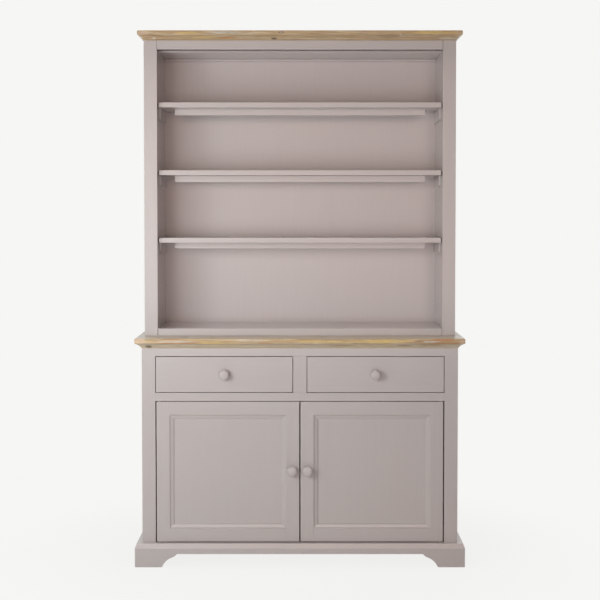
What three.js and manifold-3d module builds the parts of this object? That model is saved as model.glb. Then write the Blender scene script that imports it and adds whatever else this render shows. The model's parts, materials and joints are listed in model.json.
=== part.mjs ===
// A painted welsh dresser: a base with two drawers over two doors on a plinth with bracket
// feet, and an open hutch with three shelves under a moulded cornice.
// Millimetres, +Z up, the front faces -Y. The origin is on the floor, under the middle of
// the whole dresser. Left and right are those of someone who stands in front of it.

import * as THREE from "three";
import { mergeVertices } from "three/addons/utils/BufferGeometryUtils.js";
import Module from "manifold-3d";

const wasm = await Module();
wasm.setup();

// Gaps between pieces
const seatGap = 0.3;
const drawerGap = 2.3;
const doorEndGap = 2.5;
const doorPivotGap = 3.3;
const doorMeetingGap = 4.4;
const pivotClearance = 0.1;
const overrun = 5;

// Base frame and boards
const bodyWidth = 1150;
const bodyDepth = 375;
const stileWidth = 49;
const frameThickness = 22;
const boardThickness = 22;
const topRailHeight = 29;
const midRailHeight = 30;
const muntinWidth = 49;
const floorThickness = 20;
const housingDepth = 6;
const backThickness = 8;
const backInset = 7;
const cupboardShelfRise = 250;
const cupboardShelfThickness = 18;
const cupboardShelfSetback = 70;

// Plinth
const plinthHeight = 86;
const plinthOverhang = 25;
const plinthLedge = 19;
const plinthChamferHeight = 17;
const apronClearance = 49;
const footWidth = 98;
const footReach = 153;
const footEase = 3;
const ogeeStartShare = { across: 0.04, up: 0.1 };
const ogeeHeelShare = { across: 0.26, up: 0.6 };
const ogeeWaistShare = { across: 0.73, up: 0.76 };
const ogeeToeShare = { across: 0.88, up: 0.83 };

// Drawers
const drawerHeight = 129;
const drawerFrontThickness = 20;
const drawerBoardThickness = 12;
const drawerSideHeight = 118;
const drawerSideInset = 1;
const drawerBottomThickness = 5;
const drawerBottomRise = 12;
const drawerGrooveDepth = 6;
const drawerBackGap = 1;
const runnerReach = 22;
const kickerGap = 1.5;
const stopDepth = 10;
const stopDrop = 8;
const stopEndInset = 40;

// Doors
const doorHeight = 513;
const doorStileWidth = 48;
const doorMouldingWidth = 17;
const doorMouldingDepth = 9;
const doorRebate = 12;
const doorPanelThickness = 8;
const doorEdgeRadius = 3;
const mouldingFallShare = { across: 0.09, down: 0.4 };
const mouldingWaistShare = { across: 0.42, down: 0.5 };
const mouldingSwellShare = { across: 0.78, down: 0.58 };

// Door pivots
const pivotFromEdge = 10;
const pivotFromFace = 9;
const pivotRadius = 3.5;
const pivotDoorDepth = 18;
const pivotFrameDepth = 11;
const collarRadius = 6;

// Knobs
const knobRadius = 19.5;
const knobProjection = 30;
const knobSpigotRadius = 5;
const knobSpigotLength = 14;
const doorKnobFromEdge = 26.3;
const doorKnobRise = 261;
const knobProfileShares = [
  { out: 0.54, along: 0.0 },
  { out: 0.54, along: 0.1 },
  { out: 0.4, along: 0.2 },
  { out: 0.38, along: 0.34 },
  { out: 0.52, along: 0.46 },
  { out: 0.86, along: 0.54 },
  { out: 1.0, along: 0.64 },
  { out: 0.98, along: 0.76 },
  { out: 0.82, along: 0.89 },
  { out: 0.48, along: 0.975 },
];

// Worktop
const worktopOverhang = 23.5;
const worktopNoseHeight = 19;
const worktopCoveHeight = 18;

// Cornice
const corniceOverhang = 21.5;
const corniceNoseHeight = 17.3;
const corniceCoveHeight = 17;

// Edge of the worktop and of the cornice
const noseRadius = 4;
const coveQuirk = 3;
const coveBellyShare = { across: 0.38, up: 0.72 };

// Hutch
const hutchSideSetback = 1;
const hutchStileWidth = 48;
const hutchDepth = 291;
const hutchTopRailHeight = 32.6;
const hutchBottomRailHeight = 27;
const hutchBoardThickness = 18;
const ceilingDrop = 4.4;
const ceilingThickness = 6;
const ceilingSetback = 30;
const backStripSize = 9;
const lowestBayHeight = 317;
const topBayHeight = 187.8;

// Hutch shelves
const shelfPitch = 250.5;
const shelfThickness = 18;
const shelfEndGap = 3;
const shelfSetback = 24;
const shelfBackGap = 1;
const battenHeight = 23.5;
const battenThickness = 20;
const battenSetback = 82.5;
const battenEndInset = 51.5;

// Ledges under the shelf ends, and the rows of holes in the walls that they can be moved to
const ledgeThickness = 5;
const ledgeHeight = 44;
const ledgeSetback = 84;
const ledgeRound = 12;
const holeRadius = 3.5;
const holeDepth = 8;
const frontHoleSetback = 95;
const backHoleSetback = 215;
const lowestHoleRise = 32.4;
const holePitch = 61.5;
const holeRows = 16;
const shelfCount = 3;

// Facets
const curveSegments = 5;
const knobSegments = 24;
const pivotSegments = 24;
const holeSegments = 8;

// Places across the dresser
const bodyHalf = bodyWidth / 2;
const openingHalf = bodyHalf - stileWidth;
const sideInner = bodyHalf - boardThickness;
const muntinHalf = muntinWidth / 2;
const hutchHalf = bodyHalf - hutchSideSetback;
const hutchOpeningHalf = hutchHalf - hutchStileWidth;

// Places from front to back
const frontReach = Math.max(knobProjection, plinthOverhang, worktopOverhang);
const faceY = frontReach - (frontReach + bodyDepth) / 2;
const backY = faceY + bodyDepth;
const frameBackY = faceY + frameThickness;
const backPanelY = backY - backInset - backThickness;
const boxEndY = backPanelY - seatGap;
const hutchFaceY = backY - hutchDepth;
const hutchFrameBackY = hutchFaceY + frameThickness;

// Heights in the base
const floorTop = plinthHeight;
const floorBottom = floorTop - floorThickness;
const doorBottom = floorTop + doorEndGap;
const doorTop = doorBottom + doorHeight;
const midRailBottom = doorTop + doorEndGap;
const midRailTop = midRailBottom + midRailHeight;
const drawerBottom = midRailTop + drawerGap;
const drawerTop = drawerBottom + drawerHeight;
const topRailBottom = drawerTop + drawerGap;
const bodyTop = topRailBottom + topRailHeight;
const bodyBottom = apronClearance;
const cupboardShelfTop = floorTop + cupboardShelfRise;
const drawerSideBottom = midRailTop + seatGap;
const drawerSideTop = drawerSideBottom + drawerSideHeight;
const worktopTop = bodyTop + worktopCoveHeight + worktopNoseHeight;

// Heights in the hutch
const hutchFloorTop = worktopTop + hutchBottomRailHeight;
const firstShelfBottom = hutchFloorTop + lowestBayHeight;
const shelfBottoms = Array.from({ length: shelfCount }, (_, shelf) => firstShelfBottom + shelf * shelfPitch);
const lastShelfTop = shelfBottoms[shelfCount - 1] + shelfThickness;
const ceilingBottom = lastShelfTop + topBayHeight;
const hutchTopRailBottom = ceilingBottom + ceilingDrop;
const hutchTop = hutchTopRailBottom + hutchTopRailHeight;

// Finishes
const paint = new THREE.MeshStandardMaterial({ color: 0xb8b0ac, roughness: 0.55, metalness: 0 });
const limedPine = new THREE.MeshStandardMaterial({ color: 0xb79f7c, roughness: 0.6, metalness: 0 });
const barePine = new THREE.MeshStandardMaterial({ color: 0xd2b48a, roughness: 0.7, metalness: 0 });
const steel = new THREE.MeshStandardMaterial({ color: 0x9a9a9a, roughness: 0.35, metalness: 1 });

// A closed mesh as a solid that can be joined and cut.
function solidOf(geometry) {
  const bare = geometry.index ? geometry.toNonIndexed() : geometry.clone();
  bare.deleteAttribute("normal");
  bare.deleteAttribute("uv");
  const merged = mergeVertices(bare);
  const vertProperties = new Float32Array(merged.attributes.position.array);
  const triVerts = new Uint32Array(merged.index.array);
  return new wasm.Manifold(new wasm.Mesh({ numProp: 3, vertProperties, triVerts }));
}

// A solid as a geometry with flat faces.
function geometryOf(solid) {
  const mesh = solid.getMesh();
  const geometry = new THREE.BufferGeometry();
  geometry.setAttribute("position", new THREE.BufferAttribute(mesh.vertProperties, mesh.numProp));
  geometry.setIndex(new THREE.BufferAttribute(mesh.triVerts, 1));
  const flat = geometry.toNonIndexed();
  flat.computeVertexNormals();
  return flat;
}

// A box between two corners.
function boxBetween(low, high) {
  const size = high.map((value, axis) => value - low[axis]);
  const middle = high.map((value, axis) => (value + low[axis]) / 2);
  return new THREE.BoxGeometry(...size).translate(...middle);
}

const xAxis = new THREE.Vector3(1, 0, 0);
const yAxis = new THREE.Vector3(0, 1, 0);
const zAxis = new THREE.Vector3(0, 0, 1);

function extrude(shape, length) {
  return new THREE.ExtrudeGeometry(shape, { depth: length, bevelEnabled: false, curveSegments });
}

// A shape drawn in (y, z), run along X.
function alongX(shape, from, to) {
  const turn = new THREE.Matrix4().makeBasis(yAxis, zAxis, xAxis);
  return extrude(shape, to - from).applyMatrix4(turn).translate(from, 0, 0);
}

// A shape drawn in (x, z), run along Y.
function alongY(shape, from, to) {
  const turn = new THREE.Matrix4().makeBasis(xAxis, zAxis, yAxis.clone().negate());
  return extrude(shape, to - from).applyMatrix4(turn).translate(0, to, 0);
}

// A shape drawn in (x, y), run along Z.
function alongZ(shape, from, to) {
  return extrude(shape, to - from).translate(0, 0, from);
}

function polygon(points) {
  return new THREE.Shape(points.map(([across, up]) => new THREE.Vector2(across, up)));
}

// An upright cylinder on a point of its axis.
function uprightCylinder(radius, x, y, from, to, segments) {
  const middle = (from + to) / 2;
  return new THREE.CylinderGeometry(radius, radius, to - from, segments)
    .rotateX(Math.PI / 2)
    .translate(x, y, middle);
}

// A cylinder that runs from side to side.
function crossCylinder(radius, y, z, from, to, segments) {
  const middle = (from + to) / 2;
  return new THREE.CylinderGeometry(radius, radius, to - from, segments)
    .rotateZ(Math.PI / 2)
    .translate(middle, y, z);
}

const dresser = new THREE.Group();
const rightHand = new THREE.Group();
rightHand.scale.x = -1;
dresser.add(rightHand);

function place(group, name, geometry, material) {
  const mesh = new THREE.Mesh(geometry, material);
  mesh.name = name;
  group.add(mesh);
}

// One piece on the middle line.
function single(name, geometry, material) {
  place(dresser, name, geometry, material);
}

// A left-hand piece and its mirror image on the right.
function pair(name, geometry, material) {
  place(dresser, `${name}_left`, geometry, material);
  place(rightHand, `${name}_right`, geometry, material);
}

// A board with a rounded nose over a cove along its front and both ends.
function mouldedBoard({ half, front, bottom, overhang, coveHeight, noseHeight }) {
  const noseBottom = bottom + coveHeight;
  const top = noseBottom + noseHeight;
  const coveOut = overhang - coveQuirk;
  const shoulder = overhang - noseRadius;

  // The moulded edge from the underside to the top, as distances out from the body.
  const path = new THREE.Path();
  path.moveTo(0, bottom);
  path.quadraticCurveTo(
    coveOut * coveBellyShare.across,
    bottom + coveHeight * coveBellyShare.up,
    coveOut,
    noseBottom,
  );
  path.lineTo(shoulder, noseBottom);
  path.quadraticCurveTo(overhang, noseBottom, overhang, noseBottom + noseRadius);
  path.lineTo(overhang, top - noseRadius);
  path.quadraticCurveTo(overhang, top, shoulder, top);
  const edge = path.getPoints(curveSegments);

  const across = polygon([
    [backY, top],
    [backY, bottom],
    ...edge.map(({ x: out, y: up }) => [front - out, up]),
  ]);
  const along = polygon([
    ...edge.map(({ x: out, y: up }) => [half + out, up]),
    ...edge.toReversed().map(({ x: out, y: up }) => [-half - out, up]),
  ]);
  const reach = half + overhang + overrun;
  const run = solidOf(alongX(across, -reach, reach));
  const ends = solidOf(alongY(along, front - overhang - overrun, backY + overrun));
  return geometryOf(run.intersect(ends));
}

// The outline of a foot, from its outer face round its eased corners and up the curve to the
// underside of the apron.
function footOutline() {
  const span = footReach - footWidth;
  const at = (share) => [footWidth + span * share.across, apronClearance * share.up];
  const path = new THREE.Path();
  path.moveTo(0, footEase);
  path.quadraticCurveTo(0, 0, footEase, 0);
  path.lineTo(footWidth - footEase, 0);
  path.quadraticCurveTo(footWidth, 0, ...at(ogeeStartShare));
  path.quadraticCurveTo(...at(ogeeHeelShare), ...at(ogeeWaistShare));
  path.quadraticCurveTo(...at(ogeeToeShare), footReach, apronClearance);
  return path.getPoints(curveSegments);
}

// A plinth board that runs along X from zero with its outer face on the plane y = 0. It has
// a foot at each end, a chamfer on top, and ends that are mitred or square.
function plinthBoard(length, startMitre, endMitre) {
  const thickness = plinthOverhang - seatGap;
  const foot = footOutline();
  const outline = polygon([
    [0, plinthHeight],
    ...foot.map(({ x: along, y: up }) => [along, up]),
    ...foot.toReversed().map(({ x: along, y: up }) => [length - along, up]),
    [length, plinthHeight],
  ]);

  const ledgeY = plinthOverhang - plinthLedge;
  const section = new THREE.Shape();
  section.moveTo(thickness, 0);
  section.lineTo(thickness, plinthHeight);
  section.lineTo(ledgeY, plinthHeight);
  section.lineTo(0, plinthHeight - plinthChamferHeight);
  section.lineTo(0, footEase);
  section.quadraticCurveTo(0, 0, footEase, 0);

  const plan = polygon([
    [0, 0],
    [length, 0],
    [length - (endMitre ? thickness : 0), thickness],
    [startMitre ? thickness : 0, thickness],
  ]);

  const board = solidOf(alongY(outline, -overrun, thickness + overrun));
  const run = solidOf(alongX(section, -overrun, length + overrun));
  const cut = solidOf(alongZ(plan, -overrun, plinthHeight + overrun));
  return geometryOf(board.intersect(run).intersect(cut));
}

function addPlinth() {
  const frontLength = bodyWidth + 2 * plinthOverhang;
  const front = plinthBoard(frontLength, true, true);
  single("plinth_front", front.translate(-frontLength / 2, faceY - plinthOverhang, 0), paint);

  const mitreGap = seatGap * Math.SQRT2;
  const side = plinthBoard(bodyDepth + plinthOverhang - mitreGap, false, true);
  side.rotateZ(-Math.PI / 2);
  pair("plinth", side.translate(-bodyHalf - plinthOverhang, backY, 0), paint);
}

// A base side board with housings for the floor and for the cupboard shelf.
function addBaseSides() {
  const outer = -bodyHalf;
  const inner = -sideInner;
  const housed = inner - housingDepth;
  const shelfBottom = cupboardShelfTop - cupboardShelfThickness;
  const section = polygon([
    [outer, bodyBottom],
    [inner, bodyBottom],
    [inner, floorBottom - seatGap],
    [housed, floorBottom - seatGap],
    [housed, floorTop + seatGap],
    [inner, floorTop + seatGap],
    [inner, shelfBottom - seatGap],
    [housed, shelfBottom - seatGap],
    [housed, cupboardShelfTop + seatGap],
    [inner, cupboardShelfTop + seatGap],
    [inner, bodyTop - seatGap],
    [outer, bodyTop - seatGap],
  ]);
  pair("base_side", alongY(section, frameBackY + seatGap, backY), paint);
}

function addBaseFrame() {
  const railHalf = openingHalf - seatGap;
  const stile = boxBetween(
    [-bodyHalf, faceY, bodyBottom],
    [-openingHalf, frameBackY, bodyTop - seatGap],
  );
  pair("base_stile", stile, paint);

  const topRail = boxBetween(
    [-railHalf, faceY, topRailBottom],
    [railHalf, frameBackY, bodyTop - seatGap],
  );
  single("base_top_rail", topRail, paint);

  // The rail between the drawers and the doors, with the door stop behind it.
  const stopHalf = railHalf - stopEndInset;
  const midRail = boxBetween(
    [-railHalf, faceY, midRailBottom],
    [railHalf, frameBackY, midRailTop],
  );
  const stop = boxBetween(
    [-stopHalf, frameBackY, midRailBottom - stopDrop],
    [stopHalf, frameBackY + stopDepth, midRailTop],
  );
  const holes = pivotHoles(midRailBottom - overrun, midRailBottom + pivotFrameDepth + seatGap);
  const railAndStop = solidOf(midRail).add(solidOf(stop));
  single("base_mid_rail", geometryOf(railAndStop.subtract(holes)), paint);
}

// The two holes for the door pivots, between two heights.
function pivotHoles(from, to) {
  const x = openingHalf - doorPivotGap - pivotFromEdge;
  const y = faceY + pivotFromFace;
  const radius = pivotRadius + pivotClearance;
  const left = solidOf(uprightCylinder(radius, -x, y, from, to, pivotSegments));
  const right = solidOf(uprightCylinder(radius, x, y, from, to, pivotSegments));
  return left.add(right);
}

function addBaseBoards() {
  const frontHalf = openingHalf - seatGap;
  const housedHalf = sideInner + housingDepth - seatGap;
  const plan = polygon([
    [-frontHalf, faceY],
    [frontHalf, faceY],
    [frontHalf, frameBackY + seatGap],
    [housedHalf, frameBackY + seatGap],
    [housedHalf, boxEndY],
    [-housedHalf, boxEndY],
    [-housedHalf, frameBackY + seatGap],
    [-frontHalf, frameBackY + seatGap],
  ]);
  const floor = solidOf(alongZ(plan, floorBottom, floorTop));
  const holes = pivotHoles(floorTop - pivotFrameDepth - seatGap, floorTop + overrun);
  single("base_floor", geometryOf(floor.subtract(holes)), paint);

  const shelf = boxBetween(
    [-housedHalf, faceY + cupboardShelfSetback, cupboardShelfTop - cupboardShelfThickness],
    [housedHalf, boxEndY, cupboardShelfTop],
  );
  single("cupboard_shelf", shelf, paint);

  const backHalf = sideInner - seatGap;
  const back = boxBetween(
    [-backHalf, backPanelY, bodyBottom],
    [backHalf, backPanelY + backThickness, bodyTop - seatGap],
  );
  single("base_back", back, paint);
}

// The runner beside a drawer: a guide with a ledge under the drawer and a kicker over it.
function addRunners() {
  const from = frameBackY + stopDepth + seatGap;
  const outer = -sideInner + seatGap;
  const guide = -openingHalf;
  const tip = guide + runnerReach;
  const kickerBottom = drawerSideTop + kickerGap;
  const section = polygon([
    [outer, midRailBottom],
    [tip, midRailBottom],
    [tip, midRailTop],
    [guide, midRailTop],
    [guide, kickerBottom],
    [tip, kickerBottom],
    [tip, bodyTop - seatGap],
    [outer, bodyTop - seatGap],
  ]);
  pair("drawer_runner", alongY(section, from, boxEndY), barePine);

  const reach = muntinHalf + runnerReach;
  const web = polygon([
    [-reach, midRailBottom],
    [reach, midRailBottom],
    [reach, midRailTop],
    [muntinHalf, midRailTop],
    [muntinHalf, kickerBottom],
    [reach, kickerBottom],
    [reach, bodyTop - seatGap],
    [-reach, bodyTop - seatGap],
    [-reach, kickerBottom],
    [-muntinHalf, kickerBottom],
    [-muntinHalf, midRailTop],
    [-reach, midRailTop],
  ]);
  const muntin = boxBetween(
    [-muntinHalf, faceY, midRailTop + seatGap],
    [muntinHalf, from + overrun, topRailBottom - seatGap],
  );
  const divider = solidOf(alongY(web, from, boxEndY)).add(solidOf(muntin));
  single("drawer_divider", geometryOf(divider), paint);
}

// A turned knob that points along -Y, with its spigot behind the plane y = 0.
function knob() {
  const points = [
    new THREE.Vector2(0, -knobSpigotLength),
    new THREE.Vector2(knobSpigotRadius, -knobSpigotLength),
    new THREE.Vector2(knobSpigotRadius, seatGap),
  ];
  const length = knobProjection - seatGap;
  for (const share of knobProfileShares) {
    points.push(new THREE.Vector2(knobRadius * share.out, seatGap + length * share.along));
  }
  points.push(new THREE.Vector2(0, knobProjection));
  return new THREE.LatheGeometry(points, knobSegments).rotateX(Math.PI);
}

function knobHole(x, z) {
  const radius = knobSpigotRadius + seatGap;
  const depth = knobSpigotLength + seatGap;
  const length = depth + overrun;
  const hole = new THREE.CylinderGeometry(radius, radius, length, knobSegments);
  return solidOf(hole.translate(x, faceY + depth - length / 2, z));
}

function addDrawers() {
  const left = -openingHalf + drawerGap;
  const right = -muntinHalf - drawerGap;
  const middle = (left + right) / 2;
  const knobZ = (drawerBottom + drawerTop) / 2;
  const frontBackY = faceY + drawerFrontThickness;
  const boxFrontY = frontBackY + seatGap;
  const boxBackY = backPanelY - drawerBackGap;

  const front = boxBetween([left, faceY, drawerBottom], [right, frontBackY, drawerTop]);
  const bored = solidOf(front).subtract(knobHole(middle, knobZ));
  pair("drawer_front", geometryOf(bored), paint);
  pair("drawer_knob", knob().translate(middle, faceY, knobZ), paint);

  const outer = left + drawerSideInset;
  const inner = right - drawerSideInset;
  const bottomZ = drawerSideBottom + drawerBottomRise;
  const bottomTop = bottomZ + drawerBottomThickness;

  // A drawer side, grooved for the bottom. The sign says which way its inner face looks.
  function side(x, sign) {
    const inside = x + sign * drawerBoardThickness;
    const groove = inside - sign * drawerGrooveDepth;
    const section = polygon([
      [x, drawerSideBottom],
      [inside, drawerSideBottom],
      [inside, bottomZ - seatGap],
      [groove, bottomZ - seatGap],
      [groove, bottomTop + seatGap],
      [inside, bottomTop + seatGap],
      [inside, drawerSideTop],
      [x, drawerSideTop],
    ]);
    return alongY(section, boxFrontY, boxBackY);
  }
  pair("drawer_outer_side", side(outer, 1), barePine);
  pair("drawer_inner_side", side(inner, -1), barePine);

  const insideLeft = outer + drawerBoardThickness;
  const insideRight = inner - drawerBoardThickness;
  const tuck = drawerGrooveDepth - seatGap;
  const bottom = boxBetween(
    [insideLeft - tuck, boxFrontY, bottomZ],
    [insideRight + tuck, boxBackY, bottomTop],
  );
  pair("drawer_bottom", bottom, barePine);

  const back = boxBetween(
    [insideLeft + seatGap, boxBackY - drawerBoardThickness, bottomTop + seatGap],
    [insideRight - seatGap, boxBackY, drawerSideTop],
  );
  pair("drawer_back", back, barePine);
}

const doorThickness = frameThickness - seatGap;
const doorLeft = -openingHalf + doorPivotGap;
const doorRight = -doorMeetingGap / 2;
const doorWidth = doorRight - doorLeft;

// The section of a door's frame, with across measured from the outer edge and down from
// the face: flat, then a moulding that falls to the panel, with a rebate behind.
function frameSection(toPoint) {
  const edge = doorStileWidth;
  const lip = edge + doorMouldingWidth;
  const rebate = lip - doorRebate;
  const at = (share) => [
    edge + doorMouldingWidth * share.across,
    doorMouldingDepth * share.down,
  ];
  const section = new THREE.Shape();
  section.moveTo(...toPoint(0, doorThickness));
  section.lineTo(...toPoint(0, 0));
  section.lineTo(...toPoint(edge, 0));
  section.quadraticCurveTo(
    ...toPoint(...at(mouldingFallShare)),
    ...toPoint(...at(mouldingWaistShare)),
  );
  section.quadraticCurveTo(
    ...toPoint(...at(mouldingSwellShare)),
    ...toPoint(lip, doorMouldingDepth),
  );
  section.lineTo(...toPoint(rebate, doorMouldingDepth));
  section.lineTo(...toPoint(rebate, doorThickness));
  return section;
}

// The area of a stile seen from the front, mitred where its moulding meets the rails'.
function stileArea(toX) {
  const edge = doorStileWidth;
  const lip = edge + doorMouldingWidth;
  return polygon([
    [toX(0), doorBottom],
    [toX(edge), doorBottom],
    [toX(edge), doorBottom + edge],
    [toX(lip), doorBottom + lip],
    [toX(lip), doorTop - lip],
    [toX(edge), doorTop - edge],
    [toX(edge), doorTop],
    [toX(0), doorTop],
  ]);
}

// The area of a rail seen from the front.
function railArea(toZ) {
  const edge = doorStileWidth;
  const lip = edge + doorMouldingWidth;
  const start = doorLeft + seatGap;
  const end = doorRight - seatGap;
  return polygon([
    [start + edge, toZ(0)],
    [end - edge, toZ(0)],
    [end - edge, toZ(edge)],
    [end - lip, toZ(lip)],
    [start + lip, toZ(lip)],
    [start + edge, toZ(edge)],
  ]);
}

function doorSlab(area) {
  return solidOf(alongY(area, faceY - overrun, faceY + doorThickness + overrun));
}

function knobX() {
  return doorRight - doorKnobFromEdge;
}

function addDoorStiles() {
  const knobZ = doorBottom + doorKnobRise;

  // The hinge stile's outer corners are rounded so that they clear the frame as it turns.
  const radius = doorEdgeRadius;
  const back = faceY + doorThickness;
  const farX = doorLeft + doorWidth / 2;
  const rounded = new THREE.Shape();
  rounded.moveTo(farX, faceY);
  rounded.lineTo(farX, back);
  rounded.lineTo(doorLeft + radius, back);
  rounded.absarc(doorLeft + radius, back - radius, radius, Math.PI / 2, Math.PI, false);
  rounded.lineTo(doorLeft, faceY + radius);
  rounded.absarc(doorLeft + radius, faceY + radius, radius, Math.PI, (3 * Math.PI) / 2, false);
  const roundedBoard = solidOf(alongZ(rounded, doorBottom - overrun, doorTop + overrun));

  const hingeSection = frameSection((across, down) => [doorLeft + across, faceY + down]);
  const hingeRun = solidOf(alongZ(hingeSection, doorBottom, doorTop));
  const pivotX = doorLeft + pivotFromEdge;
  const pivotY = faceY + pivotFromFace;
  const bore = pivotRadius + pivotClearance;
  const depth = pivotDoorDepth + seatGap;
  const topBore = uprightCylinder(
    bore, pivotX, pivotY, doorTop - depth, doorTop + overrun, pivotSegments,
  );
  const bottomBore = uprightCylinder(
    bore, pivotX, pivotY, doorBottom - overrun, doorBottom + depth, pivotSegments,
  );
  const hingeStile = hingeRun
    .intersect(doorSlab(stileArea((across) => doorLeft + across)))
    .intersect(roundedBoard)
    .subtract(solidOf(topBore))
    .subtract(solidOf(bottomBore));
  pair("door_hinge_stile", geometryOf(hingeStile), paint);

  const meetingSection = frameSection((across, down) => [doorRight - across, faceY + down]);
  const meetingRun = solidOf(alongZ(meetingSection, doorBottom, doorTop));
  const meetingStile = meetingRun
    .intersect(doorSlab(stileArea((across) => doorRight - across)))
    .subtract(knobHole(knobX(), knobZ));
  pair("door_meeting_stile", geometryOf(meetingStile), paint);
  pair("door_knob", knob().translate(knobX(), faceY, knobZ), paint);
}

function addDoorRails() {
  const topZ = (across) => doorTop - across;
  const bottomZ = (across) => doorBottom + across;
  const rails = { door_top_rail: topZ, door_bottom_rail: bottomZ };
  for (const [name, toZ] of Object.entries(rails)) {
    const section = frameSection((across, down) => [faceY + down, toZ(across)]);
    const run = solidOf(alongX(section, doorLeft, doorRight));
    pair(name, geometryOf(run.intersect(doorSlab(railArea(toZ)))), paint);
  }
}

function addDoorPanel() {
  const inset = doorStileWidth + doorMouldingWidth - doorRebate + seatGap;
  const panelY = faceY + doorMouldingDepth + seatGap;
  const panel = boxBetween(
    [doorLeft + inset, panelY, doorBottom + inset],
    [doorRight - inset, panelY + doorPanelThickness, doorTop - inset],
  );
  pair("door_panel", panel, paint);
}

// A pivot pin with a collar that fills the gap beside the door. The sign says which way it
// points out of the door.
function pivotPin(edgeZ, sign) {
  const collarStart = seatGap;
  const collarEnd = doorEndGap - seatGap;
  const tip = doorEndGap + pivotFrameDepth;
  const points = [
    [0, -pivotDoorDepth],
    [pivotRadius, -pivotDoorDepth],
    [pivotRadius, collarStart],
    [collarRadius, collarStart],
    [collarRadius, collarEnd],
    [pivotRadius, collarEnd],
    [pivotRadius, tip],
    [0, tip],
  ].map(([out, along]) => new THREE.Vector2(out, along));
  const turn = sign > 0 ? Math.PI / 2 : -Math.PI / 2;
  return new THREE.LatheGeometry(points, pivotSegments)
    .rotateX(turn)
    .translate(doorLeft + pivotFromEdge, faceY + pivotFromFace, edgeZ);
}

function addDoors() {
  addDoorStiles();
  addDoorRails();
  addDoorPanel();
  pair("door_top_pivot", pivotPin(doorTop, 1), steel);
  pair("door_bottom_pivot", pivotPin(doorBottom, -1), steel);
}

// A ledge on the left inner wall, with its lower front corner rounded off.
function shelfLedge(shelfBottom) {
  const top = shelfBottom - seatGap;
  const bottom = top - ledgeHeight;
  const front = hutchFaceY + ledgeSetback;
  const side = new THREE.Shape();
  side.moveTo(boxEndY, bottom);
  side.lineTo(boxEndY, top);
  side.lineTo(front, top);
  side.lineTo(front, bottom + ledgeRound);
  side.absarc(front + ledgeRound, bottom + ledgeRound, ledgeRound, Math.PI, (3 * Math.PI) / 2, false);
  side.closePath();
  return solidOf(alongX(side, -hutchOpeningHalf - overrun, -hutchOpeningHalf + ledgeThickness));
}

// Runs a step for each hole place that no ledge covers, with its y and z.
function forEachHole(step) {
  for (let row = 0; row < holeRows; row += 1) {
    const z = hutchFloorTop + lowestHoleRise + row * holePitch;
    const covered = shelfBottoms.some(
      (bottom) => z < bottom + holeRadius && z > bottom - ledgeHeight - 2 * holeRadius,
    );
    if (!covered) {
      step(hutchFaceY + frontHoleSetback, z);
      step(hutchFaceY + backHoleSetback, z);
    }
  }
}

// The hutch upright: the stile with the inner wall behind it, with its ledges and holes.
function addUprights() {
  const inner = -hutchOpeningHalf;
  const wallOuter = -hutchHalf + boardThickness + seatGap;
  const plan = polygon([
    [-hutchHalf, hutchFaceY],
    [inner, hutchFaceY],
    [inner, boxEndY],
    [wallOuter, boxEndY],
    [wallOuter, hutchFrameBackY],
    [-hutchHalf, hutchFrameBackY],
  ]);
  let upright = solidOf(alongZ(plan, worktopTop + seatGap, hutchTop - seatGap));
  for (const shelfBottom of shelfBottoms) {
    upright = upright.add(shelfLedge(shelfBottom));
  }
  forEachHole((y, z) => {
    const hole = crossCylinder(holeRadius, y, z, inner - holeDepth, inner + overrun, holeSegments);
    upright = upright.subtract(solidOf(hole));
  });
  pair("hutch_upright", geometryOf(upright), paint);

  const side = boxBetween(
    [-hutchHalf, hutchFrameBackY + seatGap, worktopTop + seatGap],
    [-hutchHalf + boardThickness, backY, hutchTop - seatGap],
  );
  pair("hutch_side", side, paint);
}

function addHutchFrame() {
  const railHalf = hutchOpeningHalf - seatGap;
  const bottomRail = boxBetween(
    [-railHalf, hutchFaceY, worktopTop + seatGap],
    [railHalf, hutchFrameBackY, hutchFloorTop],
  );
  single("hutch_bottom_rail", bottomRail, paint);

  const topRail = boxBetween(
    [-railHalf, hutchFaceY, hutchTopRailBottom],
    [railHalf, hutchFrameBackY, hutchTop - seatGap],
  );
  single("hutch_top_rail", topRail, paint);

  const boardFrontY = hutchFrameBackY + seatGap;
  const floor = boxBetween(
    [-railHalf, boardFrontY, hutchFloorTop - hutchBoardThickness],
    [railHalf, boxEndY, hutchFloorTop],
  );
  single("hutch_floor", floor, paint);

  const ceiling = boxBetween(
    [-railHalf, hutchFrameBackY + ceilingSetback, ceilingBottom],
    [railHalf, boxEndY, ceilingBottom + ceilingThickness],
  );
  single("hutch_ceiling", ceiling, paint);
}

// The back panel, with the thin strip that closes the corner under the ceiling.
function addHutchBack() {
  const half = hutchHalf - boardThickness - seatGap;
  const panel = boxBetween(
    [-half, backPanelY, worktopTop + seatGap],
    [half, backPanelY + backThickness, hutchTop - seatGap],
  );
  const stripHalf = hutchOpeningHalf - seatGap;
  const stripTop = ceilingBottom - seatGap;
  const strip = boxBetween(
    [-stripHalf, backPanelY - backStripSize, stripTop - backStripSize],
    [stripHalf, backPanelY + backThickness / 2, stripTop],
  );
  single("hutch_back", geometryOf(solidOf(panel).add(solidOf(strip))), paint);
}

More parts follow.
